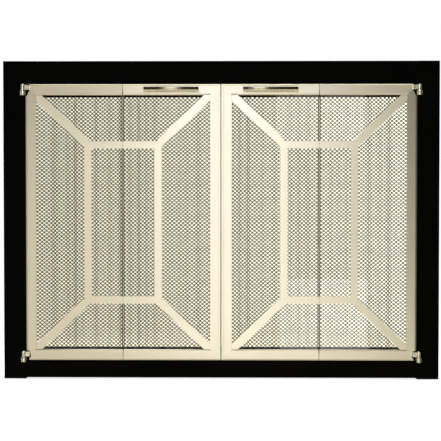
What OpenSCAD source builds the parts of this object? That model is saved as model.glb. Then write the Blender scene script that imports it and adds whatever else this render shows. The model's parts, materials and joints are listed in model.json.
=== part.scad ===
// Fireplace door set: a black steel surround with two bi-fold door pairs, an open bar grille over
// glass on each leaf, and a spark mesh curtain behind each pair.
// X runs to the right, +Y into the fireplace and +Z up. The origin is on the hearth, midway between the
// posts, in the plane where the surround meets the masonry. What is on the left is drawn at negative X,
// and the right-hand pieces are its mirror images.

/* [Surround] */
// Width over both posts
overall_w = 990; // [900:5:1100]
// Height from the hearth to the top of the header
overall_h = 723; // [680:1:800]
// Depth from the front of the surround to the masonry
frame_depth = 38; // [36:1:44]
// Face width of each post
post_w = 50; // [45:1:60]
// Face height of the header
header_h = 51; // [45:1:60]
// Face height of the sill
sill_h = 38.5; // [36:0.5:50]
// Thickness of the pads under the posts
foot_h = 3; // [2:0.5:5]
// Wall of the steel tubes
tube_wall = 2; // [1.5:0.1:3]
// Radius of the tubes' outer corners
tube_r = 1.8; // [0.5:0.1:3]
// Length of the legs of the corner gussets
gusset_leg = 25; // [18:1:30]
// Thickness of the corner gussets
gusset_t = 2.5; // [2:0.1:3]

/* [Stop angles] */
// How far each stop angle reaches into the opening
stop_reach = 30.3; // [28:0.1:36]
// Thickness of the stop angles
stop_t = 1.5; // [1:0.1:2]
// Width of the leg that lies on the header or sill
stop_leg = 12; // [10:0.5:12]
// Gap from the door backs to the stop angles
stop_setback = 7.5; // [7:0.1:9]

/* [Doors] */
// Thickness of a leaf
leaf_t = 12; // [11:0.5:14]
// How far the doors stand proud of the surround
door_proud = 4; // [2:0.5:6]
// Gap between the doors and the surround
door_gap = 1.5; // [1:0.1:3]
// Gap between the two door pairs
centre_gap = 4; // [3:0.1:6]
// Gap between the two leaves of a pair
fold_gap = 1.5; // [1:0.1:2.5]
// Face width of the stiles
stile_w = 23; // [20:0.5:28]
// Face height of the rails
rail_h = 25; // [22:0.5:30]
// Thickness of the front plate of stiles and rails
plate_t = 5; // [4:0.5:6]
// Width of the rolled edge on stiles and rails
edge_band = 3.6; // [2:0.1:5]
// Width of the seal on the fold edge of each pane
seal_w = 2.2; // [1.6:0.1:4]

/* [Grille and glass] */
// Width of the rectangle that a pair's bars form
grille_w = 176; // [140:1:200]
// Height of the rectangle
grille_h = 369; // [300:1:400]
// Width of the upright and level bars
bar_w = 16.5; // [12:0.5:20]
// Width of the diagonal bars
diagonal_w = 18.5; // [12:0.5:22]
// Thickness of the bars
grille_t = 4; // [3:0.1:4]
// How far the bars lie behind the face of the stiles
grille_inset = 0.6; // [0.2:0.1:1]
// Thickness of the glass
glass_t = 4; // [3:0.1:4.4]

/* [Pivots and fold hinges] */
// Distance of the pivot axis outside the door edge
pivot_out = 5.5; // [5:0.1:7]
// Distance of the pivot axis in front of the surround
pivot_front = 7; // [7:0.1:9]
// Radius of the fixed pivot base
base_r = 7; // [6:0.1:7]
// Height of the fixed pivot base
base_h = 10; // [8:0.5:12]
// Radius of the turning barrel
barrel_r = 4.75; // [4.2:0.05:5.5]
// Height of the turning barrel
barrel_h = 15; // [12:0.5:18]
// Radius of the pivot pin
pivot_pin_r = 2.5; // [2:0.1:3]
// Distance of the fold axis behind the door backs
fold_back = 3.3; // [3.1:0.1:3.6]
// Radius of the fold hinge knuckles
knuckle_r = 2.9; // [2.4:0.1:3]
// Radius of the fold hinge pin
fold_pin_r = 1.4; // [1:0.1:1.6]
// Radial clearance of every turning pin
pin_play = 0.05; // [0.03:0.01:0.1]

/* [Handles] */
// Length of the handle bar
handle_len = 124; // [100:1:150]
// Diameter of the handle bar
handle_d = 10; // [6:0.5:12]
// Distance from the door face to the bar's axis
handle_standoff = 22; // [16:1:30]
// Distance of each post from the bar's end
handle_post_in = 11; // [9:0.5:20]
// Diameter of the handle posts
handle_post_d = 6.5; // [5:0.5:7]

/* [Mesh curtains] */
// Diameter of the curtain rod
rod_d = 8; // [6:0.5:9]
// Distance of the rod's axis below the header
rod_drop = 15; // [13:0.5:18]
// Distance of the rod's axis behind the stop angles
rod_back = 8.5; // [8:0.1:9]
// Radius of a ring to the middle of its wire
ring_r = 5.8; // [5.5:0.1:6]
// Radius of the ring wire
ring_wire_r = 1.2; // [0.8:0.1:1.2]
// Depth of the pleats from front to back
pleat_depth = 12; // [6:0.5:13]
// Number of pleats in each curtain
pleats = 12; // [8:1:20]
// Thickness of the mesh
mesh_t = 0.5; // [0.4:0.1:1.5]

/* [Fixings] */
// Diameter of the hearth anchor holes
anchor_hole_d = 7; // [5:0.5:9]
// Distance of the anchor holes behind the masonry plane
anchor_y = 45; // [30:1:50]
// Distance of each lintel clamp from the middle
clamp_x = 300; // [200:5:350]
// Diameter of the clamp bolts
clamp_bolt_d = 8; // [6:1:10]
// Height of the lintel's underside, where the clamp pads press
lintel_z = 700; // [690:1:705]
// Width of the straps and brackets
strap_w = 30; // [20:1:34]
// Thickness of the straps and brackets
strap_t = 3; // [2:0.5:4]
// Height of the hearth brackets
bracket_h = 40; // [30:1:60]

/* [Hidden] */

$fn = 48;
LEFT = 0;
RIGHT = 1;

// The opening in the surround
opening_w = overall_w - 2 * post_w;
sill_z = foot_h + sill_h;
header_z = overall_h - header_h;
front_y = -frame_depth;

// The doors, from the outer edge of a pair to its free edge
door_front = front_y - door_proud;
door_back = door_front + leaf_t;
door_edge = -opening_w / 2 + door_gap;
free_edge = -centre_gap / 2;
pair_w = free_edge - door_edge;
leaf_w = (pair_w - fold_gap) / 2;
seam_x = door_edge + pair_w / 2;
door_z0 = sill_z + door_gap;
door_z1 = header_z - door_gap;
door_h = door_z1 - door_z0;
door_mid_z = (door_z0 + door_z1) / 2;

// The walls behind the front plates, which the glass sits between
stile_wall = 12;
rail_wall = 14;
glass_y = door_front + plate_t + 0.2;
glass_play = 1;
glass_edge = 0.8;
bead_w = 8;

// The pivots and the fold axis
pivot_x = door_edge - pivot_out;
pivot_y = front_y - pivot_front;
fold_y = door_back + fold_back;
unit_h = base_h + barrel_h;
upper_unit_z = door_z1 - unit_h;
lower_unit_z = door_z0 - 3.4;
arm_h = 10.5;
arm_z = base_h + 2.5;

// The curtain rod, its rings and the pleated mesh
stop_y = door_back + stop_setback;
rod_y = stop_y + stop_t + rod_back;
rod_z = header_z - rod_drop;
lead_x = -9.5;
anchor_x = -opening_w / 2 + 9;
ring_step = (lead_x - anchor_x) / 4;
curtain_top = rod_z - ring_r - 1;
curtain_bottom = sill_z + 4;
lead_bar_t = 3;

// The fixings reach as far behind the masonry plane as the handles reach in front of it
reach = handle_standoff + handle_d / 2 - door_front;
bracket_x = -opening_w / 2 + strap_w / 2 + 10;
nut_r = 6.5;
nut_h = 6;
handle_z = door_z1 - rail_h / 2;
handle_x = free_edge - leaf_w / 2;

// What is drawn on the left, or its mirror image on the right
module on_side(side) {
    if (side == RIGHT) mirror([1, 0, 0]) children();
    else children();
}

module both_sides() {
    on_side(LEFT) children();
    on_side(RIGHT) children();
}

// A box from its lowest to its highest corner
module block(low, high) {
    translate(low) cube(high - low);
}

module rod_x(x0, x1, y, z, r) {
    translate([x0, y, z]) rotate([0, 90, 0]) cylinder(r = r, h = x1 - x0);
}

// ---- Surround ----

// A rectangle from the origin to a corner, with rounded corners
function rounded(w, h, r, steps = 4) = [
    for (q = [0 : 3], i = [0 : steps]) let (a = 90 * (q + i / steps))
        [(q == 0 || q == 3 ? w - r : r) + r * cos(a), (q < 2 ? h - r : r) + r * sin(a)]
];

// A post, open below and closed above
module post(side) {
    color("black") on_side(side) translate([-overall_w / 2, front_y, foot_h]) difference() {
        linear_extrude(overall_h - foot_h) polygon(rounded(post_w, frame_depth, tube_r));
        block(
            [tube_wall, tube_wall, -1],
            [post_w - tube_wall, frame_depth - tube_wall, overall_h - foot_h - tube_wall]
        );
    }
}

// The header or sill, a tube between the posts
module cross_tube(z0, height) {
    color("black") translate([-opening_w / 2, front_y, z0]) difference() {
        rotate([90, 0, 90]) linear_extrude(opening_w) polygon(rounded(frame_depth, height, tube_r));
        block([-1, tube_wall, tube_wall], [opening_w + 1, frame_depth - tube_wall, height - tube_wall]);
    }
}

module foot_pads() {
    color("dimgray") both_sides()
        block([-overall_w / 2, front_y, 0], [-opening_w / 2, 0, foot_h]);
}

module gusset(z, up) {
    translate([-opening_w / 2, -tube_wall, z]) rotate([90, 0, 0]) linear_extrude(gusset_t)
        polygon([[0, 0], [gusset_leg, 0], [0, up * gusset_leg]]);
}

module corner_gussets() {
    color("black") both_sides() {
        gusset(sill_z, 1);
        gusset(header_z, -1);
    }
}

// One leg lies on the tube and the other stands in the opening, behind the door rails
module stop_angle(z, up) {
    reach_z = z + up * stop_reach;
    foot_z = z + up * stop_t;
    color("black") {
        block(
            [-opening_w / 2, stop_y, min(z, reach_z)],
            [opening_w / 2, stop_y + stop_t, max(z, reach_z)]
        );
        block(
            [-opening_w / 2, stop_y, min(z, foot_z)],
            [opening_w / 2, stop_y + stop_leg, max(z, foot_z)]
        );
    }
}

module pivot_base(z) {
    translate([pivot_x, pivot_y, z]) {
        cylinder(r = base_r, h = base_h);
        block([-base_r, 0, 0], [base_r, pivot_front, base_h]);
        cylinder(r = pivot_pin_r, h = unit_h - 4);
    }
}

module frame_pivot_brackets() {
    color("silver") both_sides() {
        pivot_base(upper_unit_z);
        pivot_base(lower_unit_z);
    }
}

module magnetic_catches() {
    color("dimgray") both_sides()
        block([-16, door_back + 0.3, header_z - 20], [-4, stop_y, header_z - 6]);
}

// ---- Fixings behind the surround ----

// A strap that runs back from under the header, with a welded nut that the clamp bolt turns in
module lintel_clamps() {
    front = stop_y + stop_leg + 0.5;
    color("gray") both_sides() translate([-clamp_x, 0, header_z - strap_t]) difference() {
        union() {
            block([-strap_w / 2, front, 0], [strap_w / 2, reach, strap_t]);
            translate([0, anchor_y, strap_t]) cylinder(r = nut_r, h = nut_h, $fn = 6);
        }
        translate([0, anchor_y, -1]) cylinder(d = clamp_bolt_d + 0.1, h = strap_t + nut_h + 2);
    }
}

// Set by turning the head below, which presses the pad against the lintel
module clamp_bolts() {
    head_z = header_z - strap_t - 14;
    pad_h = 3;
    color("silver") both_sides() translate([-clamp_x, anchor_y, 0]) {
        translate([0, 0, head_z]) cylinder(r = nut_r, h = nut_h, $fn = 6);
        translate([0, 0, head_z + nut_h]) cylinder(d = clamp_bolt_d, h = lintel_z - pad_h - head_z - nut_h);
        translate([0, 0, lintel_z - pad_h]) cylinder(r = 9, h = pad_h);
    }
}

module hearth_brackets() {
    color("gray") both_sides() translate([bracket_x, 0, 0]) difference() {
        union() {
            block([-strap_w / 2, 0, 0], [strap_w / 2, reach, strap_t]);
            block([-strap_w / 2, 0, 0], [strap_w / 2, strap_t, bracket_h]);
        }
        translate([0, anchor_y, -1]) cylinder(d = anchor_hole_d, h = strap_t + 2);
    }
}

// ---- Door leaves. A leaf spans x0 to x1, and its stile is on the side away from the seam. ----

// Section of a stile or rail: u runs in from the outer edge and v back from the face. The outer edge is
// rolled, and so is the inner edge where both_edges says so.
roll_depth = 2.4;
roll_step = 0.5;
function rolled_edge(steps = 5) = [
    for (i = [0 : steps]) let (a = 90 * i / steps)
        [edge_band * (1 - cos(a)), roll_step + roll_depth * (1 - sin(a))]
];
function section(width, wall, both_edges) = concat(
    [[0, leaf_t]],
    rolled_edge(),
    [[edge_band + 0.3, 0]],
    both_edges ? [[width - edge_band - 0.3, 0]] : [[width - 0.4, 0], [width, 0.4]],
    both_edges ? [for (i = [5 : -1 : 0]) [width - rolled_edge()[i][0], rolled_edge()[i][1]]] : [],
    [[width, plate_t], [wall, plate_t], [wall, leaf_t]]
);

// The section swept upwards, with its outer edge on x = 0 and its face on y = door_front
module upright(width, wall, z0, z1) {
    translate([0, door_front, z0]) linear_extrude(z1 - z0) polygon(section(width, wall, false));
}

// The section swept along X, with its outer edge on z = 0 and the leaf above it
module level_rail(length) {
    translate([0, door_front, 0]) rotate([90, 0, 90]) linear_extrude(length)
        polygon([for (p = section(rail_h, rail_wall, true)) [p[1], p[0]]]);
}

// Keeps what lies on the stile's side of the corner's mitre, which runs from the outer to the inner corner
module mitre_wedge(reach_x) {
    scale_z = rail_h / stile_w;
    translate([0, door_front - 1, 0]) rotate([90, 0, 0]) mirror([0, 0, 1]) linear_extrude(leaf_t + 2)
        polygon([[0, 0], [reach_x, reach_x * scale_z], [-60, reach_x * scale_z], [-60, 0]]);
}

// A notch in the stile's outer edge, beside the base and barrel of a pivot
module pivot_notch(unit_z) {
    translate([door_edge, door_front - 1, unit_z]) rotate([90, 0, 0]) mirror([0, 0, 1])
        linear_extrude(leaf_t + 2) polygon([
            [-1, -1], [3.5, -1], [8, base_h - 1], [10.5, base_h + 2],
            [10.5, unit_h - 2.5], [8, unit_h], [4, unit_h + 0.5], [-1, unit_h + 0.5]
        ]);
}

// A stile with mitred ends, its outer edge on x = 0 and its face towards +X
module stile() {
    intersection() {
        upright(stile_w, stile_wall, door_z0, door_z1);
        union() {
            block([-1, door_front - 1, door_z0 + rail_h], [60, door_back + 1, door_z1 - rail_h]);
            translate([0, 0, door_z0]) mitre_wedge(stile_w);
            translate([0, 0, door_z1]) mirror([0, 0, 1]) mitre_wedge(stile_w);
        }
    }
}

// Top and bottom rails with one mitred end at x = 0
module rails() {
    for (end = [0, 1])
        translate([0, 0, end ? door_z1 : door_z0]) mirror([0, 0, end]) difference() {
            level_rail(leaf_w);
            mitre_wedge(stile_w);
        }
}

// A leaf is drawn with its stile's edge on x = 0. The outer leaf is moved to the door edge and the inner
// leaf is mirrored to the free edge.
module place_leaf(side, inner) {
    on_side(side) {
        if (inner) translate([free_edge, 0, 0]) mirror([1, 0, 0]) children();
        else translate([door_edge, 0, 0]) children();
    }
}

// A leaf's frame piece, with room for the pivots on an outer leaf
module frame_piece(side, inner) {
    color("tan") difference() {
        place_leaf(side, inner) children();
        if (!inner) on_side(side) {
            pivot_notch(upper_unit_z);
            pivot_notch(lower_unit_z);
        }
    }
}

module leaf_stile(side, inner) {
    frame_piece(side, inner) stile();
}

module leaf_rails(side, inner) {
    frame_piece(side, inner) rails();
}

// A strip pushed over the free edge of the glass, from rail to rail
module leaf_edge_seal(side, inner) {
    lip = 0.6;
    front = plate_t + 0.2;
    back = front + glass_t;
    slot = seal_w - glass_edge;
    color("dimgray") place_leaf(side, inner)
        translate([leaf_w - seal_w, door_front, door_z0 + rail_h])
        linear_extrude(door_h - 2 * rail_h) polygon([
            [0, front - lip], [seal_w, front - lip], [seal_w, back + lip], [0, back + lip],
            [0, back], [slot, back], [slot, front], [0, front]
        ]);
}

// A diagonal bar from the inner corner of the frame to the outer corner of the bar rectangle
module diagonal_bar(from, to) {
    run = to - from;
    angle = atan2(run[1], run[0]);
    translate(from) rotate(angle) translate([-20, -diagonal_w / 2]) square([norm(run) + 20, diagonal_w]);
}

module grille_outline() {
    half_pair = pair_w / 2;
    left = half_pair - grille_w / 2;
    top = grille_h / 2;
    inner_top = door_h / 2 - rail_h;
    intersection() {
        translate([stile_w, -inner_top]) square([leaf_w - stile_w, 2 * inner_top]);
        union() {
            translate([left, -top]) square([bar_w, 2 * top]);
            for (s = [-1, 1]) {
                translate([left, s > 0 ? top - bar_w : -top]) square([leaf_w - left, bar_w]);
                diagonal_bar([stile_w, s * inner_top], [left + 4, s * (top - 4)]);
            }
        }
    }
}

module leaf_grille(side, inner) {
    color("tan") place_leaf(side, inner)
        translate([0, door_front + grille_inset, door_mid_z]) rotate([90, 0, 0]) mirror([0, 0, 1])
            linear_extrude(grille_t) grille_outline();
}

module leaf_glass(side, inner) {
    color("lightblue", 0.4) place_leaf(side, inner) block(
        [stile_wall + glass_play, glass_y, door_z0 + rail_wall + glass_play],
        [leaf_w - glass_edge, glass_y + glass_t, door_z1 - rail_wall - glass_play]
    );
}

// Strips behind the edges of the glass, one along the stile and one along each rail
module leaf_glazing_bead(side, inner) {
    y0 = glass_y + glass_t + 0.2;
    x1 = leaf_w - seal_w - 0.3;
    color("black") place_leaf(side, inner) {
        block([stile_wall, y0, door_z0 + rail_wall], [stile_wall + bead_w, door_back, door_z1 - rail_wall]);
        for (z = [door_z0 + rail_wall, door_z1 - rail_wall - bead_w])
            block([stile_wall + bead_w + 0.2, y0, z], [x1, door_back, z + bead_w]);
    }
}

// ---- Pivots: a barrel that turns on the frame bracket's pin, with an arm through the door's notch ----

module barrel() {
    bore_top = unit_h - 3.5;
    base = base_h + 0.3;
    dome = 2;
    rotate_extrude() polygon(concat(
        [[pivot_pin_r + pin_play, base], [barrel_r, base], [barrel_r, unit_h - dome]],
        [for (a = [18 : 18 : 90]) [barrel_r - dome * (1 - cos(a)), unit_h - dome * (1 - sin(a))]],
        [[0, unit_h], [0, bore_top], [pivot_pin_r + pin_play, bore_top]]
    ));
}

module pivot_arm(unit_z) {
    arm_x = pivot_out + 8;
    back_y = door_back - pivot_y;
    translate([pivot_x, pivot_y, unit_z]) {
        barrel();
        difference() {
            block([0, -2.5, arm_z], [arm_x, 3, arm_z + arm_h]);
            translate([0, 0, arm_z - 1]) cylinder(r = pivot_pin_r + pin_play, h = arm_h + 2);
        }
        block([arm_x - 3, 0, arm_z], [arm_x, back_y + 2, arm_z + arm_h]);
        block([arm_x - 3, back_y, arm_z], [arm_x + 14, back_y + 2, arm_z + arm_h]);
    }
}

module pivot_arms(side) {
    color("silver") on_side(side) {
        pivot_arm(upper_unit_z);
        pivot_arm(lower_unit_z);
    }
}

// ---- Fold hinges behind the rails: two knuckles on the outer leaf and one between them on the inner ----

hinge_h = 13;
knuckle_h = 4;
plate_len = 20;
hinge_plate_t = 1.2;

module hinge_levels() {
    for (z = [door_z0 + 0.5, door_z1 - hinge_h - 0.5])
        translate([seam_x, fold_y, z]) children();
}

// A knuckle with its tab to the plate, which lies towards -X
module knuckle(z, bore_r) {
    translate([0, 0, z]) difference() {
        union() {
            cylinder(r = knuckle_r, h = knuckle_h);
            block([-knuckle_r - 0.6, -fold_back, 0], [0, -fold_back + hinge_plate_t, knuckle_h]);
        }
        if (bore_r > 0) translate([0, 0, -1]) cylinder(r = bore_r, h = knuckle_h + 2);
    }
}

module hinge_plate() {
    block([-plate_len, -fold_back, 0], [-knuckle_r - 0.4, -fold_back + hinge_plate_t, hinge_h]);
}

module outer_fold_hinge(side) {
    color("silver") on_side(side) hinge_levels() {
        hinge_plate();
        knuckle(0, 0);
        knuckle(hinge_h - knuckle_h, 0);
        cylinder(r = fold_pin_r, h = hinge_h);
    }
}

module inner_fold_hinge(side) {
    color("silver") on_side(side) hinge_levels() mirror([1, 0, 0]) {
        hinge_plate();
        knuckle((hinge_h - knuckle_h) / 2, fold_pin_r + pin_play);
    }
}

// ---- Handles ----

handle_y = door_front - handle_standoff;
groove_in = 8;
groove_w = 1.2;
groove_depth = 0.6;

module handle_bar(side) {
    r = handle_d / 2;
    bevel = 0.7;
    half = handle_len / 2;
    half_section = [
        [r, groove_in - half + groove_w], [r - groove_depth, groove_in - half + groove_w],
        [r - groove_depth, groove_in - half], [r, groove_in - half],
        [r, bevel - half], [r - bevel, -half], [0, -half]
    ];
    color("silver") on_side(side) translate([handle_x, handle_y, handle_z]) rotate([0, 90, 0])
        rotate_extrude() polygon(concat(
            half_section, [for (i = [6 : -1 : 0]) [half_section[i][0], -half_section[i][1]]]
        ));
}

module handle_posts(side) {
    color("silver") on_side(side) difference() {
        for (s = [-1, 1])
            translate([handle_x + s * (handle_len / 2 - handle_post_in), door_front, handle_z])
                rotate([90, 0, 0]) {
                    cylinder(d = handle_post_d, h = handle_standoff);
                    cylinder(d = handle_post_d + 4, h = 1.5);
                }
        rod_x(handle_x - handle_len, handle_x + handle_len, handle_y, handle_z, handle_d / 2);
    }
}

// ---- Mesh curtains ----

module curtain_rod() {
    color("dimgray") rod_x(-opening_w / 2 + 2.5, opening_w / 2 - 2.5, rod_y, rod_z, rod_d / 2);
}

module rod_brackets() {
    bore_r = rod_d / 2 + 0.1;
    color("dimgray") {
        both_sides() difference() {
            union() {
                rod_x(-opening_w / 2, -opening_w / 2 + 2, rod_y, rod_z, 8);
                rod_x(-opening_w / 2, -opening_w / 2 + 6, rod_y, rod_z, 6);
            }
            rod_x(-opening_w / 2 + 2.2, -opening_w / 2 + 7, rod_y, rod_z, bore_r);
        }
        difference() {
            block([-2, rod_y - 7, rod_z - 7], [2, rod_y + 7, header_z]);
            block([-3, rod_y - 8, header_z - 1.8], [3, stop_y + stop_leg + 0.3, header_z + 1]);
            rod_x(-3, 3, rod_y, rod_z, bore_r);
        }
    }
}

module ring() {
    rotate([0, 90, 0]) rotate_extrude() translate([ring_r, 0]) circle(r = ring_wire_r, $fn = 16);
}

module curtain_ring(side, step) {
    color("dimgray") on_side(side) translate([anchor_x + step * ring_step, rod_y, rod_z]) ring();
}

module anchor_rings() {
    curtain_ring(LEFT, 0);
    curtain_ring(RIGHT, 0);
}

// The leading edge of a curtain: a flat bar that hangs from its ring
module lead_bar(side) {
    color("dimgray") on_side(side) {
        curtain_ring(LEFT, 4);
        block(
            [lead_x - lead_bar_t / 2, rod_y - 4, curtain_bottom],
            [lead_x + lead_bar_t / 2, rod_y + 4, rod_z - ring_r - 0.4]
        );
    }
}

// Folded mesh as one thin corrugated sheet, from the anchor ring to the lead bar
module mesh_curtain(side) {
    x0 = anchor_x - 2;
    x1 = lead_x - lead_bar_t / 2 - 0.5;
    count = pleats * 6;
    front = [
        for (i = [0 : count])
            [x0 + (x1 - x0) * i / count, (pleat_depth - mesh_t) / 2 * sin(360 * i / 6)]
    ];
    color("olive") on_side(side) translate([0, rod_y, curtain_bottom])
        linear_extrude(curtain_top - curtain_bottom - 1) polygon(concat(
            [for (p = front) p - [0, mesh_t / 2]],
            [for (i = [count : -1 : 0]) front[i] + [0, mesh_t / 2]]
        ));
}

post(LEFT);  // left_post
post(RIGHT);  // right_post
cross_tube(header_z, header_h);  // header
cross_tube(foot_h, sill_h);  // sill
foot_pads();
corner_gussets();
stop_angle(header_z, -1);  // upper_stop_angle
stop_angle(sill_z, 1);  // lower_stop_angle
frame_pivot_brackets();
magnetic_catches();
curtain_rod();
rod_brackets();
anchor_rings();
lintel_clamps();
clamp_bolts();
hearth_brackets();
leaf_stile(LEFT, false);  // left_outer_stile
leaf_rails(LEFT, false);  // left_outer_rails
leaf_edge_seal(LEFT, false);  // left_outer_edge_seal
leaf_grille(LEFT, false);  // left_outer_grille
leaf_glass(LEFT, false);  // left_outer_glass
leaf_glazing_bead(LEFT, false);  // left_outer_glazing_bead
leaf_stile(LEFT, true);  // left_inner_stile
leaf_rails(LEFT, true);  // left_inner_rails
leaf_edge_seal(LEFT, true);  // left_inner_edge_seal
leaf_grille(LEFT, true);  // left_inner_grille
leaf_glass(LEFT, true);  // left_inner_glass
leaf_glazing_bead(LEFT, true);  // left_inner_glazing_bead
leaf_stile(RIGHT, false);  // right_outer_stile
leaf_rails(RIGHT, false);  // right_outer_rails
leaf_edge_seal(RIGHT, false);  // right_outer_edge_seal
leaf_grille(RIGHT, false);  // right_outer_grille
leaf_glass(RIGHT, false);  // right_outer_glass
leaf_glazing_bead(RIGHT, false);  // right_outer_glazing_bead
leaf_stile(RIGHT, true);  // right_inner_stile
leaf_rails(RIGHT, true);  // right_inner_rails
leaf_edge_seal(RIGHT, true);  // right_inner_edge_seal
leaf_grille(RIGHT, true);  // right_inner_grille
leaf_glass(RIGHT, true);  // right_inner_glass
leaf_glazing_bead(RIGHT, true);  // right_inner_glazing_bead
pivot_arms(LEFT);  // left_pivot_arms
pivot_arms(RIGHT);  // right_pivot_arms
outer_fold_hinge(LEFT);  // left_outer_fold_hinge
inner_fold_hinge(LEFT);  // left_inner_fold_hinge
outer_fold_hinge(RIGHT);  // right_outer_fold_hinge
inner_fold_hinge(RIGHT);  // right_inner_fold_hinge
handle_bar(LEFT);  // left_handle_bar
handle_posts(LEFT);  // left_handle_posts
handle_bar(RIGHT);  // right_handle_bar
handle_posts(RIGHT);  // right_handle_posts
mesh_curtain(LEFT);  // left_mesh_curtain
mesh_curtain(RIGHT);  // right_mesh_curtain
lead_bar(LEFT);  // left_lead_bar
lead_bar(RIGHT);  // right_lead_bar
curtain_ring(LEFT, 1);  // left_ring_1
curtain_ring(LEFT, 2);  // left_ring_2
curtain_ring(LEFT, 3);  // left_ring_3
curtain_ring(RIGHT, 1);  // right_ring_1
curtain_ring(RIGHT, 2);  // right_ring_2
curtain_ring(RIGHT, 3);  // right_ring_3
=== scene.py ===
"""Looks for the fireplace doors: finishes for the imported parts, woven spark curtains and small hardware.

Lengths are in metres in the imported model's frame: +X to the right, +Y into the fireplace, +Z up, with the
origin on the hearth under the back of the surround.
"""

import json
import math

import bpy
import numpy as np
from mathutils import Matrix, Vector


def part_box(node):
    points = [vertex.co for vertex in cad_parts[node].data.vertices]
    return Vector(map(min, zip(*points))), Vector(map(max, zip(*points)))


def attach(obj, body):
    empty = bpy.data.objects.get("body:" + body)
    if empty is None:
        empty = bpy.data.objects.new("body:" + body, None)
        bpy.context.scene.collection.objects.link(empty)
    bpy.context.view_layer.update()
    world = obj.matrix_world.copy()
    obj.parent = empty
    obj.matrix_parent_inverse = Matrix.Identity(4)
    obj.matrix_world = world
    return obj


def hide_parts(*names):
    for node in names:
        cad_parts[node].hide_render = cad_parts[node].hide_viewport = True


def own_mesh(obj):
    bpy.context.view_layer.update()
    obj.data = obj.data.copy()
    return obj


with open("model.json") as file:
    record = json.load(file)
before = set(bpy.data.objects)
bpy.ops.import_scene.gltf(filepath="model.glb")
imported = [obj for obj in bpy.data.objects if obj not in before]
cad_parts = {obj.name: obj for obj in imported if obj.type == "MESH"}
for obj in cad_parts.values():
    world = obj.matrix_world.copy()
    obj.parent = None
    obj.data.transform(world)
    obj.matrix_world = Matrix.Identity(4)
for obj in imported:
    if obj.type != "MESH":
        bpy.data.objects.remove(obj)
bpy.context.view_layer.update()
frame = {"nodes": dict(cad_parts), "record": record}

MM = 0.001
NODES = frame["nodes"]
SIDES = ("left", "right")
LEAVES = ("outer", "inner")


# ---- Node helpers ----


def start_material(name):
    """A new material, its node tree and its Principled shader."""
    material = bpy.data.materials.new(name)
    material.use_nodes = True
    tree = material.node_tree
    return material, tree, tree.nodes["Principled BSDF"]


def add_node(tree, kind, inputs=None, **settings):
    """A node with its settings, and its inputs set to values or linked to other nodes' outputs."""
    node = tree.nodes.new(kind)
    for key, value in settings.items():
        setattr(node, key, value)
    for key, value in (inputs or {}).items():
        if isinstance(value, bpy.types.NodeSocket):
            tree.links.new(value, node.inputs[key])
        else:
            node.inputs[key].default_value = value
    return node


def place(tree, stretch=(1, 1, 1)):
    """Coordinates that stay with the piece, in metres times a stretch."""
    coordinates = add_node(tree, "ShaderNodeTexCoord")
    inputs = {"Vector": coordinates.outputs["Object"], "Scale": stretch}
    return add_node(tree, "ShaderNodeMapping", inputs).outputs["Vector"]


def noise(tree, scale, detail=3, stretch=(1, 1, 1)):
    """Noise with that many features per metre."""
    inputs = {"Vector": place(tree, stretch), "Scale": scale, "Detail": detail}
    return add_node(tree, "ShaderNodeTexNoise", inputs).outputs["Fac"]


def spread(tree, value, low, high, start=0.3, end=0.7):
    """A value from start to end, turned into one from low to high."""
    inputs = {"Value": value, "From Min": start, "From Max": end, "To Min": low, "To Max": high}
    return add_node(tree, "ShaderNodeMapRange", inputs).outputs["Result"]


def blend_colours(tree, factor, first, second):
    """The first colour where the factor is 0 and the second where it is 1."""
    node = add_node(tree, "ShaderNodeMix", data_type="RGBA")
    sockets = {s.identifier: s for s in node.inputs}
    for identifier, value in (("Factor_Float", factor), ("A_Color", first), ("B_Color", second)):
        if isinstance(value, bpy.types.NodeSocket):
            tree.links.new(value, sockets[identifier])
        elif identifier == "Factor_Float":
            sockets[identifier].default_value = value
        else:
            sockets[identifier].default_value = (*value, 1)
    return next(s for s in node.outputs if s.identifier == "Result_Color")


def mottle(tree, pattern, first, second):
    """Two colours blended by a noise pattern."""
    return blend_colours(tree, spread(tree, pattern, 0, 1), first, second)


def bump(tree, shader, height, strength, distance):
    inputs = {"Height": height, "Strength": strength, "Distance": distance}
    normal = add_node(tree, "ShaderNodeBump", inputs).outputs["Normal"]
    tree.links.new(normal, shader.inputs["Normal"])


def link(tree, output, shader, name):
    tree.links.new(output, shader.inputs[name])


# ---- Finishes ----

CHAMPAGNE = (0.80, 0.72, 0.47)
CHAMPAGNE_PINK = (0.83, 0.72, 0.50)
POLISHED = (0.80, 0.75, 0.64)


def satin_nickel(name, grain, smoothest):
    """Plated and lacquered satin metal. Grain is how many brushed lines a metre holds along each axis."""
    material, tree, shader = start_material(name)
    link(tree, mottle(tree, noise(tree, 14, 4), CHAMPAGNE, CHAMPAGNE_PINK), shader, "Base Color")
    lines = noise(tree, 1, 4, grain)
    link(tree, spread(tree, lines, smoothest, smoothest + 0.08), shader, "Roughness")
    bump(tree, shader, lines, 0.12, 0.1 * MM)
    shader.inputs["Metallic"].default_value = 1
    shader.inputs["Coat Weight"].default_value = 1
    shader.inputs["Coat Roughness"].default_value = 0.26
    shader.inputs["Coat IOR"].default_value = 2.1
    return material


def polished_nickel(name, smoothest, roughest):
    """Plated metal, with faint tarnish and finger smears that are a little rougher."""
    material, tree, shader = start_material(name)
    smears = noise(tree, 160, 5, (1, 1, 0.4))
    link(tree, spread(tree, smears, smoothest, roughest), shader, "Roughness")
    link(tree, mottle(tree, noise(tree, 60, 3), POLISHED, CHAMPAGNE), shader, "Base Color")
    bump(tree, shader, noise(tree, 900, 2), 0.04, 0.05 * MM)
    shader.inputs["Metallic"].default_value = 1
    return material


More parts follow.
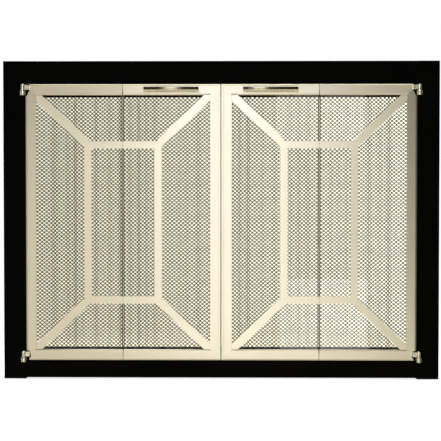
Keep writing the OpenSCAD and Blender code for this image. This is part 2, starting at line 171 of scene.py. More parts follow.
def black_steel():
    """Powder coat: nearly black, with the fine dimples that it sets in."""
    material, tree, shader = start_material("black_steel")
    dimples = noise(tree, 900, 3)
    darker, paler = (0.0008, 0.0008, 0.0006), (0.0022, 0.0020, 0.0014)
    link(tree, mottle(tree, noise(tree, 9, 3), darker, paler), shader, "Base Color")
    link(tree, spread(tree, dimples, 0.5, 0.65), shader, "Roughness")
    bump(tree, shader, dimples, 0.25, 0.12 * MM)
    shader.inputs["Specular IOR Level"].default_value = 0.02
    return material


def blackened_steel():
    """Heat-blackened rod and brackets, rubbed to bare metal in streaks by the rings."""
    material, tree, shader = start_material("blackened_steel")
    rubbed = noise(tree, 1, 5, (60, 420, 420))
    black, bare = (0.02, 0.018, 0.015), (0.16, 0.14, 0.11)
    link(tree, blend_colours(tree, spread(tree, rubbed, 0, 1, 0.45, 0.75), black, bare), shader, "Base Color")
    link(tree, spread(tree, rubbed, 0.5, 0.3), shader, "Roughness")
    bump(tree, shader, noise(tree, 700, 4), 0.15, 0.1 * MM)
    shader.inputs["Metallic"].default_value = 0.8
    return material


def zinc_steel():
    """Zinc plate with its faint spangle."""
    material, tree, shader = start_material("zinc_steel")
    inputs = {"Vector": place(tree), "Scale": 140}
    spangle = add_node(tree, "ShaderNodeTexVoronoi", inputs).outputs["Color"]
    grey = add_node(tree, "ShaderNodeSeparateColor", {"Color": spangle}).outputs["Red"]
    link(tree, blend_colours(tree, grey, (0.50, 0.52, 0.54), (0.62, 0.63, 0.63)), shader, "Base Color")
    link(tree, spread(tree, grey, 0.32, 0.5, 0, 1), shader, "Roughness")
    bump(tree, shader, noise(tree, 500, 4), 0.1, 0.1 * MM)
    shader.inputs["Metallic"].default_value = 1
    return material


def rubber(name, darker, paler):
    """A matte moulding or felt, mottled and fine-grained."""
    material, tree, shader = start_material(name)
    grain = noise(tree, 1200, 4)
    link(tree, mottle(tree, noise(tree, 40, 4), darker, paler), shader, "Base Color")
    link(tree, spread(tree, grain, 0.7, 0.9), shader, "Roughness")
    bump(tree, shader, grain, 0.3, 0.1 * MM)
    shader.inputs["Specular IOR Level"].default_value = 0.25
    return material


def clear_glass():
    """Tempered glass with a trace of smoke haze."""
    material, tree, shader = start_material("clear_glass")
    haze = noise(tree, 7, 5)
    clean, smoky = (1, 1, 0.985), (0.985, 0.985, 0.96)
    link(tree, spread(tree, haze, 0, 0.02), shader, "Roughness")
    link(tree, mottle(tree, haze, clean, smoky), shader, "Base Color")
    shader.inputs["Transmission Weight"].default_value = 1
    shader.inputs["IOR"].default_value = 1.5
    return material


def seal_vinyl():
    """Smoky see-through vinyl."""
    material, tree, shader = start_material("seal_vinyl")
    cloud = noise(tree, 60, 3)
    clean, smoky = (0.48, 0.42, 0.26), (0.38, 0.33, 0.20)
    link(tree, mottle(tree, cloud, clean, smoky), shader, "Base Color")
    link(tree, spread(tree, cloud, 0.15, 0.25), shader, "Roughness")
    shader.inputs["Transmission Weight"].default_value = 0.85
    shader.inputs["IOR"].default_value = 1.4
    shader.inputs["Specular Tint"].default_value = (0.75, 0.60, 0.34, 1)
    return material


def spark_wire():
    """Bronzed wire with streaks of soot."""
    material, tree, shader = start_material("spark_wire")
    streaks = noise(tree, 1, 4, (30, 30, 7))
    bronze, soot = (0.190, 0.135, 0.008), (0.125, 0.090, 0.005)
    link(tree, mottle(tree, streaks, bronze, soot), shader, "Base Color")
    link(tree, spread(tree, noise(tree, 800, 3), 0.35, 0.55), shader, "Roughness")
    shader.inputs["Metallic"].default_value = 1
    shader.inputs["Specular Tint"].default_value = (0.60, 0.46, 0.16, 1)
    return material


def make_materials():
    """Every finish by name. The stiles' grain runs up, the rails' runs across and the bars' runs no way."""
    fine, coarse, long = 1500, 500, 14
    return {
        "satin_upright": satin_nickel("satin_nickel_upright", (fine, fine, long), 0.34),
        "satin_level": satin_nickel("satin_nickel_level", (long, fine, fine), 0.38),
        "satin_bars": satin_nickel("satin_nickel_bars", (coarse, coarse, coarse), 0.34),
        "polished_nickel": polished_nickel("polished_nickel", 0.02, 0.045),
        "pivot_nickel": polished_nickel("pivot_nickel", 0.22, 0.3),
        "black_steel": black_steel(),
        "blackened_rod": blackened_steel(),
        "zinc_steel": zinc_steel(),
        "foot_rubber": rubber("foot_rubber", (0.012, 0.012, 0.012), (0.025, 0.024, 0.022)),
        "glazing_rubber": rubber("glazing_rubber", (0.008, 0.008, 0.008), (0.016, 0.015, 0.014)),
        "seal_vinyl": seal_vinyl(),
        "overlap_felt": rubber("overlap_felt", (0.20, 0.18, 0.12), (0.30, 0.27, 0.18)),
        "magnet": rubber("magnet_housing", (0.03, 0.026, 0.022), (0.05, 0.043, 0.036)),
        "clear_glass": clear_glass(),
        "spark_mesh": spark_wire(),
    }


def finish_nodes(materials):
    """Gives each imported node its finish, by its slot in the record and by the way it runs."""
    slots = {s["node"]: s["material_slot"] for s in frame["record"]["subparts"]}
    for name, node in NODES.items():
        key = slots[name]
        if key == "satin_nickel":
            key = "satin_upright"
            if name.endswith("_rails"):
                key = "satin_level"
            elif name.endswith("_grille"):
                key = "satin_bars"
        elif name.endswith("_edge_seal"):
            key = "seal_vinyl"
        elif "pivot" in name:
            key = "pivot_nickel"
        node.data.materials.clear()
        node.data.materials.append(materials[key])
        if key == "clear_glass":
            node.visible_shadow = False


# ---- Woven spark curtains ----

CLOTH_STEP = 5.2 * MM       # from one column of hooks to the next, along the cloth
CLOTH_PITCH = 8.64 * MM     # from one hook to the next below it
WIRE_R = 0.755 * MM
WIRE_SIDES = 6
HEM_R = 0.9 * MM
HEM_INSET = 2.2 * MM        # from the cloth's top or bottom edge to its hem wire
END_INSET = 1.5 * MM        # from the ends of the curtain's box to the cloth's ends
PLEAT_REACH = 7.0 * MM      # how far the cloth may go either side of the rod's plane
SMALL_WAVES = ((38 * MM, 1.3 * MM), (23 * MM, 0.4 * MM))    # length and height of the cloth's gentle waves
LEAN = 0.55                 # how steeply the cloth may slant from one fold to the next
SWING = 9 * MM              # and how far that may take it

PROFILE_POINTS = 4001       # along a curtain's folded line
CORNER_POINTS = 31          # how many of them a corner is rounded over
DRIFT_POINTS = 901          # and over how many the line is centred on the rod's plane

# Each fold's share of the way from the curtain's fixed end, how much fuller the cloth is there, and how many
# millimetres wide the fold is
FOLDS = {
    "left": ((0.030, 0.25, 4), (0.110, 0.12, 5), (0.197, 0.26, 4), (0.233, 0.26, 4), (0.272, 0.12, 3),
             (0.350, 0.50, 5), (0.415, 0.10, 6), (0.478, 0.42, 9), (0.523, 0.32, 5), (0.580, 0.12, 4),
             (0.616, 0.24, 4), (0.656, 0.14, 4), (0.735, 0.12, 8), (0.800, 0.26, 4), (0.8975, 0.24, 9),
             (0.965, 0.15, 5)),
    "right": ((0.040, 0.15, 5), (0.1155, 0.30, 4), (0.165, 0.08, 5), (0.224, 0.16, 5), (0.290, 0.08, 6),
              (0.3485, 0.14, 6), (0.430, 0.08, 6), (0.549, 0.20, 6), (0.600, 0.10, 5), (0.6465, 0.30, 6),
              (0.735, 0.10, 5), (0.801, 0.26, 6), (0.8795, 0.60, 4.5), (0.920, 0.10, 4), (0.9555, 0.26, 5)),
}


def curtain_profile(side, fixed_x, free_x, y):
    """The folded cloth's line seen from above, from its fixed end to its free end. The cloth slants steeply
    at each fold and gently the same way after it, one way at one fold and back again at the next."""
    run = abs(free_x - fixed_x)
    along = np.linspace(0, run, PROFILE_POINTS)
    slant, way = np.zeros_like(along), 1
    for share, fuller, width in FOLDS[side]:
        bulge = fuller * np.exp(-((along - share * run) / (width * MM)) ** 2)
        slant += way * np.sqrt((1 + bulge) ** 2 - 1)
        way = -way
    places = [share * run for share, _, _ in FOLDS[side]]
    for number, (start, end) in enumerate(zip(places, places[1:] + [run])):
        lean = min(LEAN, SWING / (end - start))
        slant[(along > start) & (along <= end)] += lean * (-1) ** number
    corner = np.hanning(CORNER_POINTS)
    slant = np.convolve(slant, corner / corner.sum(), mode="same")
    depth = np.cumsum(slant) * (along[1] - along[0])
    window = np.hanning(DRIFT_POINTS)
    padded = np.pad(depth, DRIFT_POINTS // 2, mode="edge")
    depth = depth - np.convolve(padded, window / window.sum(), mode="valid")
    for length, height in SMALL_WAVES:
        depth += height * np.sin(2 * np.pi * along / length)
    depth = PLEAT_REACH * np.tanh(depth / PLEAT_REACH)
    return fixed_x + along * np.sign(free_x - fixed_x), y + depth


def tube_faces(lines, count, sides):
    """Wall quads and end caps for vertices that are stored tube by tube, ring by ring."""
    index = np.arange(lines * count * sides).reshape(lines, count, sides)
    a, b = index[:, :-1], index[:, 1:]
    quads = np.stack([a, np.roll(a, -1, 2), np.roll(b, -1, 2), b], axis=-1).reshape(-1, 4)
    return quads, np.concatenate([index[:, 0, ::-1], index[:, -1]])


def tubes(centres, radius, sides):
    """Vertices, quads and caps of tubes round several polylines: centres is lines x points x 3. A tube is
    widened at its bends, so that it stays as thick as elsewhere."""
    lines, count, _ = centres.shape
    steps = np.diff(centres, axis=1)
    steps /= np.linalg.norm(steps, axis=2, keepdims=True)
    into = np.concatenate([steps[:, :1], steps], axis=1)
    out = np.concatenate([steps, steps[:, -1:]], axis=1)
    tangent = into + out
    tangent /= np.linalg.norm(tangent, axis=2, keepdims=True)
    inside = out - into
    bend = np.linalg.norm(inside, axis=2, keepdims=True)
    inside = np.where(bend > 1e-6, inside / np.maximum(bend, 1e-6), 0)
    half_angle_cosine = np.sqrt(np.maximum(1 - (bend / 2) ** 2, 0))
    widen = np.minimum(1 / np.maximum(half_angle_cosine, 0.6), 1.5) - 1
    first = np.cross(tangent[:, 0], [0.3, 1.0, 0.1])
    rings = np.empty((lines, count, sides, 3))
    angles = 2 * np.pi * (np.arange(sides) + 0.5) / sides
    cosines, sines = np.cos(angles)[None, :, None], np.sin(angles)[None, :, None]
    for i in range(count):
        first = first - (first * tangent[:, i]).sum(1, keepdims=True) * tangent[:, i]
        first /= np.linalg.norm(first, axis=1, keepdims=True)
        second = np.cross(tangent[:, i], first)
        offset = cosines * first[:, None] + sines * second[:, None]
        along_bend = (offset * inside[:, i, None]).sum(2, keepdims=True)
        offset = offset + widen[:, i, None] * along_bend * inside[:, i, None]
        rings[:, i] = centres[:, i, None] + radius * offset
    return rings.reshape(-1, 3), *tube_faces(lines, count, sides)


def mesh_object(name, vertices, faces_by_size, material, smooth=True):
    """A mesh object from a vertex array and arrays of faces, one array for each number of corners."""
    mesh = bpy.data.meshes.new(name)
    corners = np.concatenate([f.reshape(-1) for f in faces_by_size])
    sizes = np.concatenate([np.full(len(f), f.shape[1]) for f in faces_by_size])
    starts = np.concatenate([[0], np.cumsum(sizes)[:-1]])
    mesh.vertices.add(len(vertices))
    mesh.vertices.foreach_set("co", np.asarray(vertices, np.float32).ravel())
    mesh.loops.add(len(corners))
    mesh.loops.foreach_set("vertex_index", corners.astype(np.int32))
    mesh.polygons.add(len(sizes))
    mesh.polygons.foreach_set("loop_start", starts.astype(np.int32))
    mesh.polygons.foreach_set("use_smooth", np.full(len(sizes), smooth))
    mesh.update(calc_edges=True)
    mesh.validate()
    mesh.materials.append(material)
    obj = bpy.data.objects.new(name, mesh)
    bpy.context.scene.collection.objects.link(obj)
    return obj


def cloth_point(profile, s, z, lift):
    """Places points of the cloth: s along it, at a height z, and lift off it to one side."""
    x, y, length = profile
    at_x, at_y = np.interp(s, length, x), np.interp(s, length, y)
    slope_x = np.interp(s, length, np.gradient(x, length))
    slope_y = np.interp(s, length, np.gradient(y, length))
    size = np.hypot(slope_x, slope_y)
    return np.stack([at_x + lift * slope_y / size, at_y - lift * slope_x / size, z + 0 * at_x], axis=-1)


def weave(profile, columns, top, bottom):
    """Centrelines of the wires between columns of hooks. Each wire is a flattened coil that runs down,
    in front of the cloth one way and behind it the other, and hooks round its neighbours."""
    rows = int((top - bottom) / (CLOTH_PITCH / 2))
    over, drop, lift = 1.5 * WIRE_R, 0.9 * WIRE_R, 1.7 * WIRE_R
    row = np.repeat(np.arange(rows + 1), 2)
    before = np.tile([1, -1], rows + 1)
    lines = []
    for k in columns:
        outward = (row + k) % 2 == 0
        s = np.where(outward, (k + 1) * CLOTH_STEP + over, k * CLOTH_STEP - over)
        z = top - WIRE_R - row * CLOTH_PITCH / 2 + before * drop
        front = before * np.where(outward, 1, -1) * lift
        lines.append(cloth_point(profile, np.clip(s, 0, profile[2][-1]), z, front))
    return np.array(lines)


def hem(name, profile, z, start, end, material):
    """A wire threaded along the cloth."""
    s = np.arange(start, end, 1.5 * MM)
    line = cloth_point(profile, s, np.full_like(s, z), 0)
    vertices, quads, caps = tubes(line[None], HEM_R, 8)
    return mesh_object(name, vertices, [quads, caps], material)


def spark_curtain(side, materials):
    """A curtain in two widths of woven wire, with a hem wire along its top and bottom."""
    low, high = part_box(f"{side}_mesh_curtain")
    outer_x, inner_x = (low.x, high.x) if side == "left" else (high.x, low.x)
    wire_y = (low.y + high.y) / 2
    inset = END_INSET if side == "left" else -END_INSET
    x, y = curtain_profile(side, outer_x + inset, inner_x - inset, wire_y)
    length = np.concatenate([[0], np.cumsum(np.hypot(np.diff(x), np.diff(y)))])
    wires = int(length[-1] / CLOTH_STEP)
    profile = (x, y, length * wires * CLOTH_STEP / length[-1])
    middle = wires // 2
    for part, columns in (("outer", range(0, middle)), ("inner", range(middle, wires))):
        lines = weave(profile, columns, high.z, low.z)
        vertices, quads, caps = tubes(lines, WIRE_R, WIRE_SIDES)
        cloth = mesh_object(f"{side}_woven_mesh_{part}", vertices, [quads, caps], materials["spark_mesh"])
        start, end = columns[0] * CLOTH_STEP, (columns[-1] + 1) * CLOTH_STEP
        hems = [
            hem(f"{side}_{edge}_hem_{part}", profile, z, start, end, materials["spark_mesh"])
            for edge, z in (("top", high.z - HEM_INSET), ("bottom", low.z + HEM_INSET))
        ]
        for piece in [cloth, *hems]:
            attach(piece, "frame")
            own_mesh(piece)
        if part == "outer":
            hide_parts(f"{side}_mesh_curtain")
    curtain_hooks(side, (x, y), materials)


# ---- Small hardware ----


def turned(parts, profile, at, axis, sides=24):
    """Adds one turned part to a list of (vertices, quads, caps). The profile's steps are (radius, height) or,
    for a hexagon of that half width, (radius, height, True). Its heights run along an axis from a place."""
    angles = 2 * np.pi * np.arange(sides) / sides
    hexagon = 1 / np.cos((angles + np.pi / 6) % (np.pi / 3) - np.pi / 6)
    rings = []
    for radius, height, *six_sided in profile:
        reach = radius * (hexagon if six_sided else 1)
        rings.append(np.stack([reach * np.cos(angles), reach * np.sin(angles), height + 0 * angles], axis=-1))
    turn = np.array(Vector(axis).to_track_quat("Z", "X").to_matrix())
    vertices = np.concatenate(rings) @ turn.T + np.array(at)
    parts.append((vertices, *tube_faces(1, len(rings), sides)))


def joined(name, parts, material, body):
    """One object from a list of (vertices, quads, caps), riding on a body."""
    vertices, quads, caps, start = [], [], [], 0
    for part_vertices, part_quads, part_caps in parts:
        vertices.append(part_vertices)
        quads.append(part_quads + start)
        caps.append(part_caps + start)
        start += len(part_vertices)
    faces = [np.concatenate(quads), np.concatenate(caps)]
    piece = mesh_object(name, np.concatenate(vertices), faces, material)
    piece.data.set_sharp_from_angle(angle=math.radians(40))
    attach(piece, body)
    return piece


def screw_head(radius, height):
    """A button head with a hexagon socket."""
    socket = 0.45 * radius
    return [
        (radius, 0), (radius, 0.3 * height), (0.93 * radius, 0.6 * height), (0.78 * radius, 0.85 * height),
        (0.6 * radius, height), (socket, height, True), (0.95 * socket, 0.35 * height, True),
    ]


def add_screws(name, places, axis, radius, height, material, body):
    parts = []
    for at in places:
        turned(parts, screw_head(radius, height), at, axis)
    return joined(name, parts, material, body)


def hinge_screws(materials):
    """Two screws in each plate of the fold hinges."""
    plate_t, plate_h = 1.2 * MM, 13 * MM
    for side in SIDES:
        for leaf in LEAVES:
            low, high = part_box(f"{side}_{leaf}_fold_hinge")
            from_left = (side == "left") == (leaf == "outer")
            end, way = (low.x, 1) if from_left else (high.x, -1)
            levels = (low.z + plate_h / 2, high.z - plate_h / 2)
            columns = (end + way * 4.5 * MM, end + way * 12 * MM)
            places = [(x, low.y + plate_t, z) for x in columns for z in levels]
            add_screws(f"{side}_{leaf}_hinge_screws", places, (0, 1, 0), 2.3 * MM, 1.3 * MM,
                       materials["zinc_steel"], f"{side}_{leaf}_leaf")


def handle_screws(materials):
    """The screws that hold the handle posts, seen on the back of the top rails."""
    for side in SIDES:
        low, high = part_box(f"{side}_handle_posts")
        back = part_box(f"{side}_inner_rails")[1].y
        post_r = (high.z - low.z) / 2
        places = [(x, back, low.z + post_r) for x in (low.x + post_r, high.x - post_r)]
        add_screws(f"{side}_handle_screws", places, (0, 1, 0), 3.2 * MM, 2 * MM, materials["zinc_steel"],
                   f"{side}_inner_leaf")


def stop_screws(materials):
    """The screws that hold the stop angles to the surround."""
    angle_t = 1.5 * MM
    for name, up in (("lower_stop_angle", 1), ("upper_stop_angle", -1)):
        low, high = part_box(name)
        z = low.z + angle_t if up > 0 else high.z - angle_t
        y = (low.y + angle_t + high.y) / 2
        places = [(share * high.x, y, z) for share in (-0.88, -0.52, -0.15, 0.15, 0.52, 0.88)]
        add_screws(f"{name}_screws", places, (0, 0, up), 3 * MM, 1.2 * MM, materials["black_steel"],
                   "frame")


def weld_beads(materials):
    """Rippled welds along both legs of each corner gusset."""
    low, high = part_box("corner_gussets")
    leg, bead_r, ripple = 25 * MM, 1.4 * MM, 1.7 * MM
    first, run, steps = 0.16 * leg, 0.66 * leg, 48
    parts = []
    for x, way in ((low.x, 1), (high.x, -1)):
        for z, up in ((low.z, 1), (high.z, -1)):
            for axis in ((way, 0, 0), (0, 0, up)):
                profile = []
                for i in range(steps + 1):
                    height = first + run * i / steps
                    taper = math.sqrt(max(1 - (2 * i / steps - 1) ** 8, 0.03))
                    wave = 1 + 0.13 * math.sin(2 * math.pi * height / ripple)
                    profile.append((bead_r * taper * wave, height))
                turned(parts, profile, (x, low.y, z), axis, 12)
    joined("gusset_weld_beads", parts, materials["black_steel"], "frame")


def threaded(radius, depth, pitch, length, start, sides=24):
    """A bolt's thread as (vertices, quads, caps), from a height up the Z axis."""
    levels_per_turn = 8
    levels = int(length / pitch * levels_per_turn) + 1
    height = np.linspace(0, length, levels)[:, None]
    angles = 2 * np.pi * np.arange(sides)[None] / sides
    turns = (height / pitch - angles / (2 * np.pi)) % 1
    crest = 1 - np.abs(2 * turns - 1)
    fade = np.clip(np.minimum(height, length - height) / pitch, 0, 1)
    reach = radius - depth * (1 - crest) * fade
    spread_out = (reach * np.cos(angles), reach * np.sin(angles), start + height + 0 * angles)
    return np.stack(spread_out, axis=-1).reshape(-1, 3), *tube_faces(1, levels, sides)


def clamp_bolts(materials):
    """Threaded bolts with chamfered hexagon heads and swivelling pads, in place of the plain ones."""
    low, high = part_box("clamp_bolts")
    bolt_r, nut_r, nut_h, pad_r, pad_h = 4 * MM, 5.6 * MM, 6 * MM, 9 * MM, 3 * MM
    y = (low.y + high.y) / 2
    thread_depth, pitch, thread_length = 0.6 * MM, 1.25 * MM, high.z - low.z - nut_h - 0.6 * pad_h
    head = [
        (0.86 * nut_r, 0), (nut_r, 0.12 * nut_h, True), (nut_r, 0.88 * nut_h, True), (0.86 * nut_r, nut_h),
    ]
    pad = [
        (0.55 * pad_r, 0), (0.62 * pad_r, 0.3 * pad_h), (0.95 * pad_r, 0.38 * pad_h), (pad_r, 0.5 * pad_h),
        (pad_r, 0.85 * pad_h), (0.96 * pad_r, pad_h),
    ]
    parts = []
    for x in (low.x + pad_r, high.x - pad_r):
        turned(parts, head, (x, y, low.z), (0, 0, 1))
        vertices, *faces = threaded(bolt_r, thread_depth, pitch, thread_length, low.z + nut_h)
        parts.append((vertices + np.array((x, y, 0)), *faces))
        turned(parts, pad, (x, y, high.z - pad_h), (0, 0, 1))
    bolts = joined("threaded_clamp_bolts", parts, materials["zinc_steel"], "frame")
    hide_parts("clamp_bolts")


def hook_path(x, y, ring_z, hem_z, upper_r, lower_r):
    """An S-hook's centreline, over a ring's wire at the top and round under the hem wire at the bottom."""
    upper = np.radians(np.arange(-50, 181, 15))
    lower = np.radians(np.arange(180, 411, 15))
    back_to_middle = np.linspace(-upper_r, 0, len(lower))
    over_ring = (x + upper_r * np.cos(upper), y + 0 * upper, ring_z + upper_r * np.sin(upper))
    under_hem = (x + back_to_middle, y - lower_r * np.cos(lower), hem_z + lower_r * np.sin(lower))
    return np.concatenate([np.stack(over_ring, axis=-1), np.stack(under_hem, axis=-1)])


def curtain_hooks(side, cloth_line, materials):
    """A wire hook from each ring to the hem of its curtain. The first ring is the fixed one, which is as far
    from the second as that is from the third."""
    cloth_x, cloth_y = cloth_line
    order = np.argsort(cloth_x)
    hem_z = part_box(f"{side}_mesh_curtain")[1].z - HEM_INSET
    hook_r = 0.6 * MM
    ring_low, ring_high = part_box(f"{side}_ring_1")
    wire_r = (ring_high.x - ring_low.x) / 2
    ring_r = (ring_high.z - ring_low.z) / 2 - wire_r
    farthest = 0.75 * ring_r
    numbers = (1, 2, 3)
    ring_x = [sum(corner.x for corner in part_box(f"{side}_ring_{number}")) / 2 for number in numbers]
    places = [2 * ring_x[0] - ring_x[1], *ring_x]
    bodies = ["frame", *[f"{side}_ring_{number}_slider" for number in numbers]]
    centre_y = (ring_low.y + ring_high.y) / 2
    centre_z = (ring_low.z + ring_high.z) / 2
    for number, (body, x) in enumerate(zip(bodies, places)):
        y = np.interp(x, cloth_x[order], cloth_y[order])
        y = centre_y + np.clip(y - centre_y, -farthest, farthest)
        ring_z = centre_z - math.sqrt(ring_r ** 2 - (y - centre_y) ** 2)
        path = hook_path(x, y, ring_z, hem_z, wire_r + hook_r, HEM_R + hook_r)
        vertices, quads, caps = tubes(path[None], hook_r, 10)
        joined(f"{side}_curtain_hook_{number}", [(vertices, quads, caps)], materials["blackened_rod"],
               body)


def drawn_up(section, levels):
    """Vertices, wall quads and end caps of a section that is drawn up through several heights."""
    vertices = np.concatenate([np.column_stack([section, np.full(len(section), z)]) for z in levels])
    return vertices, *tube_faces(1, len(levels), len(section))


def rolled_section(bar_x, near_x, y, thick):
    """The section of a strip that runs from the bar to near_x and rolls back behind itself. Returns the line
    of its middle and the way across it."""
    way = 1 if bar_x > near_x else -1
    roll_r = 1.5 * thick
    front = y - thick / 2
    roll_x = near_x + way * roll_r
    turn = np.radians(np.arange(0, 271, 30))
    roll = np.stack([roll_x - way * roll_r * np.sin(turn), front + roll_r * (1 - np.cos(turn))], axis=-1)
    middle = np.concatenate([[(bar_x, front), (roll_x, front)], roll])
    along = np.gradient(middle, axis=0)
    along /= np.linalg.norm(along, axis=1, keepdims=True)
    return middle, np.stack([along[:, 1], -along[:, 0]], axis=-1)


def strip_ends(lids):
    """The end caps of a curled strip as quads across it, which suit its outline better than one face."""
    quads = []
    for lid in lids:
        there, back = np.split(lid, 2)
        back = back[::-1]
        quads.append(np.stack([there[:-1], there[1:], back[1:], back[:-1]], axis=-1))
    return np.concatenate(quads)


def overlap_strips(materials):
    """A rolled strip along each lead bar, which covers the gap between the two curtains."""
    rod_low, rod_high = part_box("curtain_rod")
    thick, from_middle, below_rod = 0.8 * MM, 0.4 * MM, 9 * MM
    top = (rod_low.z + rod_high.z) / 2 - below_rod
    for side, way in (("left", -1), ("right", 1)):
        low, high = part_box(f"{side}_lead_bar")
        middle, across = rolled_section((low.x + high.x) / 2, way * from_middle, (low.y + high.y) / 2, thick)
        half = across * thick / 2
        section = np.concatenate([middle + half, (middle - half)[::-1]])
        vertices, walls, lids = drawn_up(section, np.linspace(low.z, top, 9))
        joined(f"{side}_overlap_strip", [(vertices, walls, strip_ends(lids))], materials["overlap_felt"],
               f"{side}_curtain_lead")


def meeting_lips(materials):
    """A flat moulding over the free edge of each inner stile, which narrows the gap between the two pairs."""
    over, past = 3.4 * MM, 1.05 * MM            # how far it covers the stile, and reaches past it
    proud, thick, soft = 0.25 * MM, 1.6 * MM, 0.2 * MM
    short = 1 * MM                              # at each end
    for side, way in (("left", 1), ("right", -1)):
        low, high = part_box(f"{side}_inner_stile")
        edge = high.x if side == "left" else low.x
        y = low.y - proud
        section = [
            (-over, y + thick), (-over, y + soft), (soft - over, y), (past - soft, y), (past, y + soft),
            (past, y + thick - soft), (past - soft, y + thick),
        ]
        ring = np.array([(edge + way * x, depth) for x, depth in section])[::way]
        lip = drawn_up(ring, np.linspace(low.z + short, high.z - short, 25))
        joined(f"{side}_meeting_lip", [lip], materials["satin_upright"], f"{side}_inner_leaf")


def add_hardware(materials):
    meeting_lips(materials)
    overlap_strips(materials)
    hinge_screws(materials)
    handle_screws(materials)
    stop_screws(materials)
    weld_beads(materials)
    clamp_bolts(materials)


# ---- Studio ----

AIM_X = -0.001
AIM_Z = 0.3615
AIM_Y = -0.04
DISTANCE = 3.2
TILT = math.radians(1.7)
VIEW_WIDTH = 1.0010         # what the picture's width spans at the aim point
CAMERA_X = 0.05
LIGHTS_Y = -3.25            # the front lights stand level with the camera


def make_camera():
    """A camera a little right of the middle and a little above it."""
    data = bpy.data.cameras.new("camera")
    data.sensor_width = 36
    data.lens = 36 * DISTANCE / VIEW_WIDTH
    camera = bpy.data.objects.new("camera", data)
    camera.location = (CAMERA_X, AIM_Y - DISTANCE * math.cos(TILT), AIM_Z + DISTANCE * math.sin(TILT))
    aim = Vector((AIM_X, AIM_Y, AIM_Z)) - camera.location
    camera.rotation_euler = aim.to_track_quat("-Z", "Y").to_euler()
    bpy.context.scene.collection.objects.link(camera)
    bpy.context.scene.camera = camera


def area_light(name, location, target, size, power, colour=(1, 1, 1), spread_angle=180):
    data = bpy.data.lights.new(name, "AREA")
    data.shape = "RECTANGLE"
    data.size, data.size_y = size
    data.energy = power
    data.color = colour
    data.spread = math.radians(spread_angle)
    light = bpy.data.objects.new(name, data)
    light.location = location
    light.rotation_euler = (Vector(target) - Vector(location)).to_track_quat("-Z", "Y").to_euler()
    light.visible_camera = False
    light.visible_transmission = False
    bpy.context.scene.collection.objects.link(light)
    return light


def keep_out(light, names):
    """Shades these nodes from a light."""
    shaded = bpy.data.collections.new(f"shaded_from_{light.name}")
    for name in names:
        shaded.objects.link(NODES[name])
    for item in shaded.collection_objects:
        item.light_linking.link_state = "EXCLUDE"
    light.light_linking.receiver_collection = shaded


def make_lights():
    """An upright strip at the camera, narrow enough for the glass to show it only behind the middle stiles,
    smaller ones over it for the top rails, a window to the left, low lights for the bottom rails and a soft
    light from above. The handle bars are kept out of them all, so that they show a mostly dark room, and some
    lights miss the pieces that they would make too bright."""
    cool, warm = (0.95, 1, 1.10), (1, 0.98, 0.93)
    strip_x, strip_width, low_z, high_z = -CAMERA_X, 0.085, 0.06, 0.81
    low, high = (strip_x, LIGHTS_Y, low_z), (strip_x, LIGHTS_Y, high_z)
    over_front, top_rails = (strip_x, LIGHTS_Y, 0.97), (strip_x, AIM_Y, 0.6)
    upper_right, lower_right, right = (0.40, LIGHTS_Y, 0.86), (0.42, LIGHTS_Y, -0.25), (0.3, AIM_Y, AIM_Z)
    lights = [
        area_light("front_strip", low, (strip_x, AIM_Y, low_z), (strip_width, 1.0), 4.7, (0.97, 1, 1.08)),
        area_light("strip_top", high, (strip_x, AIM_Y, high_z), (strip_width, 0.5), 2.3, (0.93, 1, 1.20)),
        area_light("strip_crown", over_front, top_rails, (0.36, 0.25), 2.3, cool),
        area_light("rail_strip", over_front, top_rails, (0.5, 0.25), 2.6, (0.96, 1, 1.06)),
        area_light("left_window", (-1.22, LIGHTS_Y, 0.15), (0, AIM_Y, 0.3), (0.5, 1.5), 5.0, (1, 0.97, 0.91)),
        area_light("low_strip", (0.4, -2.0, -0.5), (0.4, AIM_Y, 0.05), (2.2, 0.2), 3.3, warm),
        area_light("upper_fill", upper_right, right, (0.4, 0.5), 1.1, warm),
        area_light("lower_fill", lower_right, right, (0.4, 0.5), 1.7, warm),
        area_light("overhead", (0, -0.1, 2.6), (0, -0.1, 0), (1.8, 1.8), 9, spread_angle=60),
    ]
    bars = [f"{side}_handle_bar" for side in SIDES]
    outer_stiles = [f"{side}_outer_stile" for side in SIDES]
    bright_enough = [f"{side}_{piece}" for side in SIDES for piece in ("outer_rails", "inner_stile")]
    shaded = {
        "strip_crown": bars + outer_stiles,
        "rail_strip": bars + outer_stiles + bright_enough,
        "upper_fill": bars + outer_stiles,
    }
    for light in lights:
        keep_out(light, shaded.get(light.name, bars))


def sky_direction(tree):
    return add_node(tree, "ShaderNodeTexCoord").outputs["Generated"]


def arithmetic(tree, operation, *values):
    return add_node(tree, "ShaderNodeMath", dict(enumerate(values)), operation=operation).outputs[0]


def world_stripe(tree, direction, x, width):
    """1 on a narrow upright window whose direction has that x, well above and well below the level of the
    object, and 0 elsewhere."""
    off = arithmetic(tree, "ABSOLUTE", arithmetic(tree, "SUBTRACT", direction["X"], x))
    band = spread(tree, off, 1, 0, width * 0.4, width * 0.6)
    away = spread(tree, arithmetic(tree, "ABSOLUTE", direction["Z"]), 0, 1, 0.16, 0.2)
    return arithmetic(tree, "MULTIPLY", band, away)


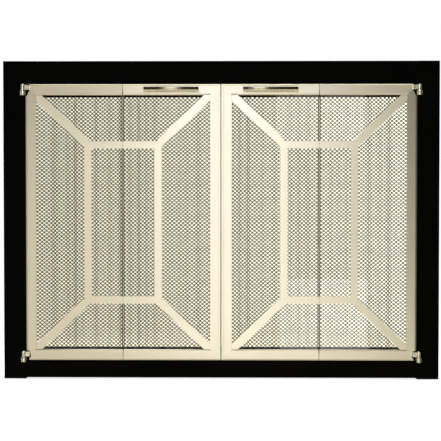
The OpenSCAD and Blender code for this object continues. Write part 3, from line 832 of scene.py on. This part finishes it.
def make_world():
    """A white backdrop behind the object and a dim room in front of it. The room has brighter walls, most of
    all to the left, a pale floor and two narrow upright windows beside the camera."""
    world = bpy.data.worlds.new("studio")
    world.use_nodes = True
    bpy.context.scene.world = world
    tree = world.node_tree
    direction = add_node(tree, "ShaderNodeSeparateXYZ", {"Vector": sky_direction(tree)}).outputs
    warm_left, white_right = (0.92, 0.895, 0.715), (1.36, 1.33, 1.14)
    backdrop = blend_colours(tree, spread(tree, direction["X"], 0, 1, -0.15, 0.12), warm_left, white_right)
    left_wall, right_wall, middle = (0.5, 0.49, 0.46), (0.14, 0.135, 0.12), (0.03, 0.028, 0.022)
    walls = blend_colours(tree, spread(tree, direction["X"], 0, 1, -0.3, 0.3), left_wall, right_wall)
    sideways = spread(tree, arithmetic(tree, "ABSOLUTE", direction["X"]), 0, 1, 0.3, 0.9)
    room = blend_colours(tree, sideways, middle, walls)
    window, window_width, pale_floor = (1.3, 1.27, 1.2), 0.0086, (0.75, 0.73, 0.62)
    for x in (-0.0510, 0.0116):
        room = blend_colours(tree, world_stripe(tree, direction, x, window_width), room, window)
    room = blend_colours(tree, spread(tree, direction["Z"], 1, 0, -0.75, -0.4), room, pale_floor)
    around = blend_colours(tree, spread(tree, direction["Y"], 0, 1, 0.5, 0.8), room, backdrop)
    rays = add_node(tree, "ShaderNodeLightPath")
    seen = blend_colours(tree, rays.outputs["Is Camera Ray"], around, (1, 1, 1))
    tree.links.new(seen, tree.nodes["Background"].inputs["Color"])


def make_floor():
    """A pale floor that fades out into the backdrop. Seen through the glass it is as warm as the backdrop."""
    material, tree, shader = start_material("floor")
    direct = add_node(tree, "ShaderNodeLightPath").outputs["Is Camera Ray"]
    pale = blend_colours(tree, noise(tree, 3, 2), (0.80, 0.80, 0.79), (0.84, 0.84, 0.83))
    warm, warm_glow, white = (0.78, 0.75, 0.58), (0.95, 0.92, 0.74), (1, 1, 1)
    link(tree, blend_colours(tree, direct, warm, pale), shader, "Base Color")
    link(tree, blend_colours(tree, direct, warm_glow, white), shader, "Emission Color")
    shader.inputs["Roughness"].default_value = 0.9
    shader.inputs["Specular IOR Level"].default_value = 0
    shader.inputs["Emission Strength"].default_value = 0.75
    distance = add_node(tree, "ShaderNodeVectorMath", {0: place(tree)}, operation="LENGTH").outputs["Value"]
    clear = add_node(tree, "ShaderNodeBsdfTransparent").outputs["BSDF"]
    fade = spread(tree, distance, 1, 0, 0.5, 1.2)
    mix = add_node(tree, "ShaderNodeMixShader", {0: fade, 1: clear, 2: shader.outputs["BSDF"]})
    tree.links.new(mix.outputs["Shader"], tree.nodes["Material Output"].inputs["Surface"])
    half = 2.0
    corners = np.array([(-half, -half, 0), (half, -half, 0), (half, half, 0), (-half, half, 0)])
    floor = mesh_object("floor", corners, [np.array([[0, 1, 2, 3]])], material, smooth=False)
    floor.visible_glossy = False
    floor.visible_shadow = False


materials = make_materials()
finish_nodes(materials)
for side in SIDES:
    spark_curtain(side, materials)
add_hardware(materials)
make_world()
make_lights()
make_floor()
make_camera()
bpy.context.scene.view_settings.view_transform = "Standard"
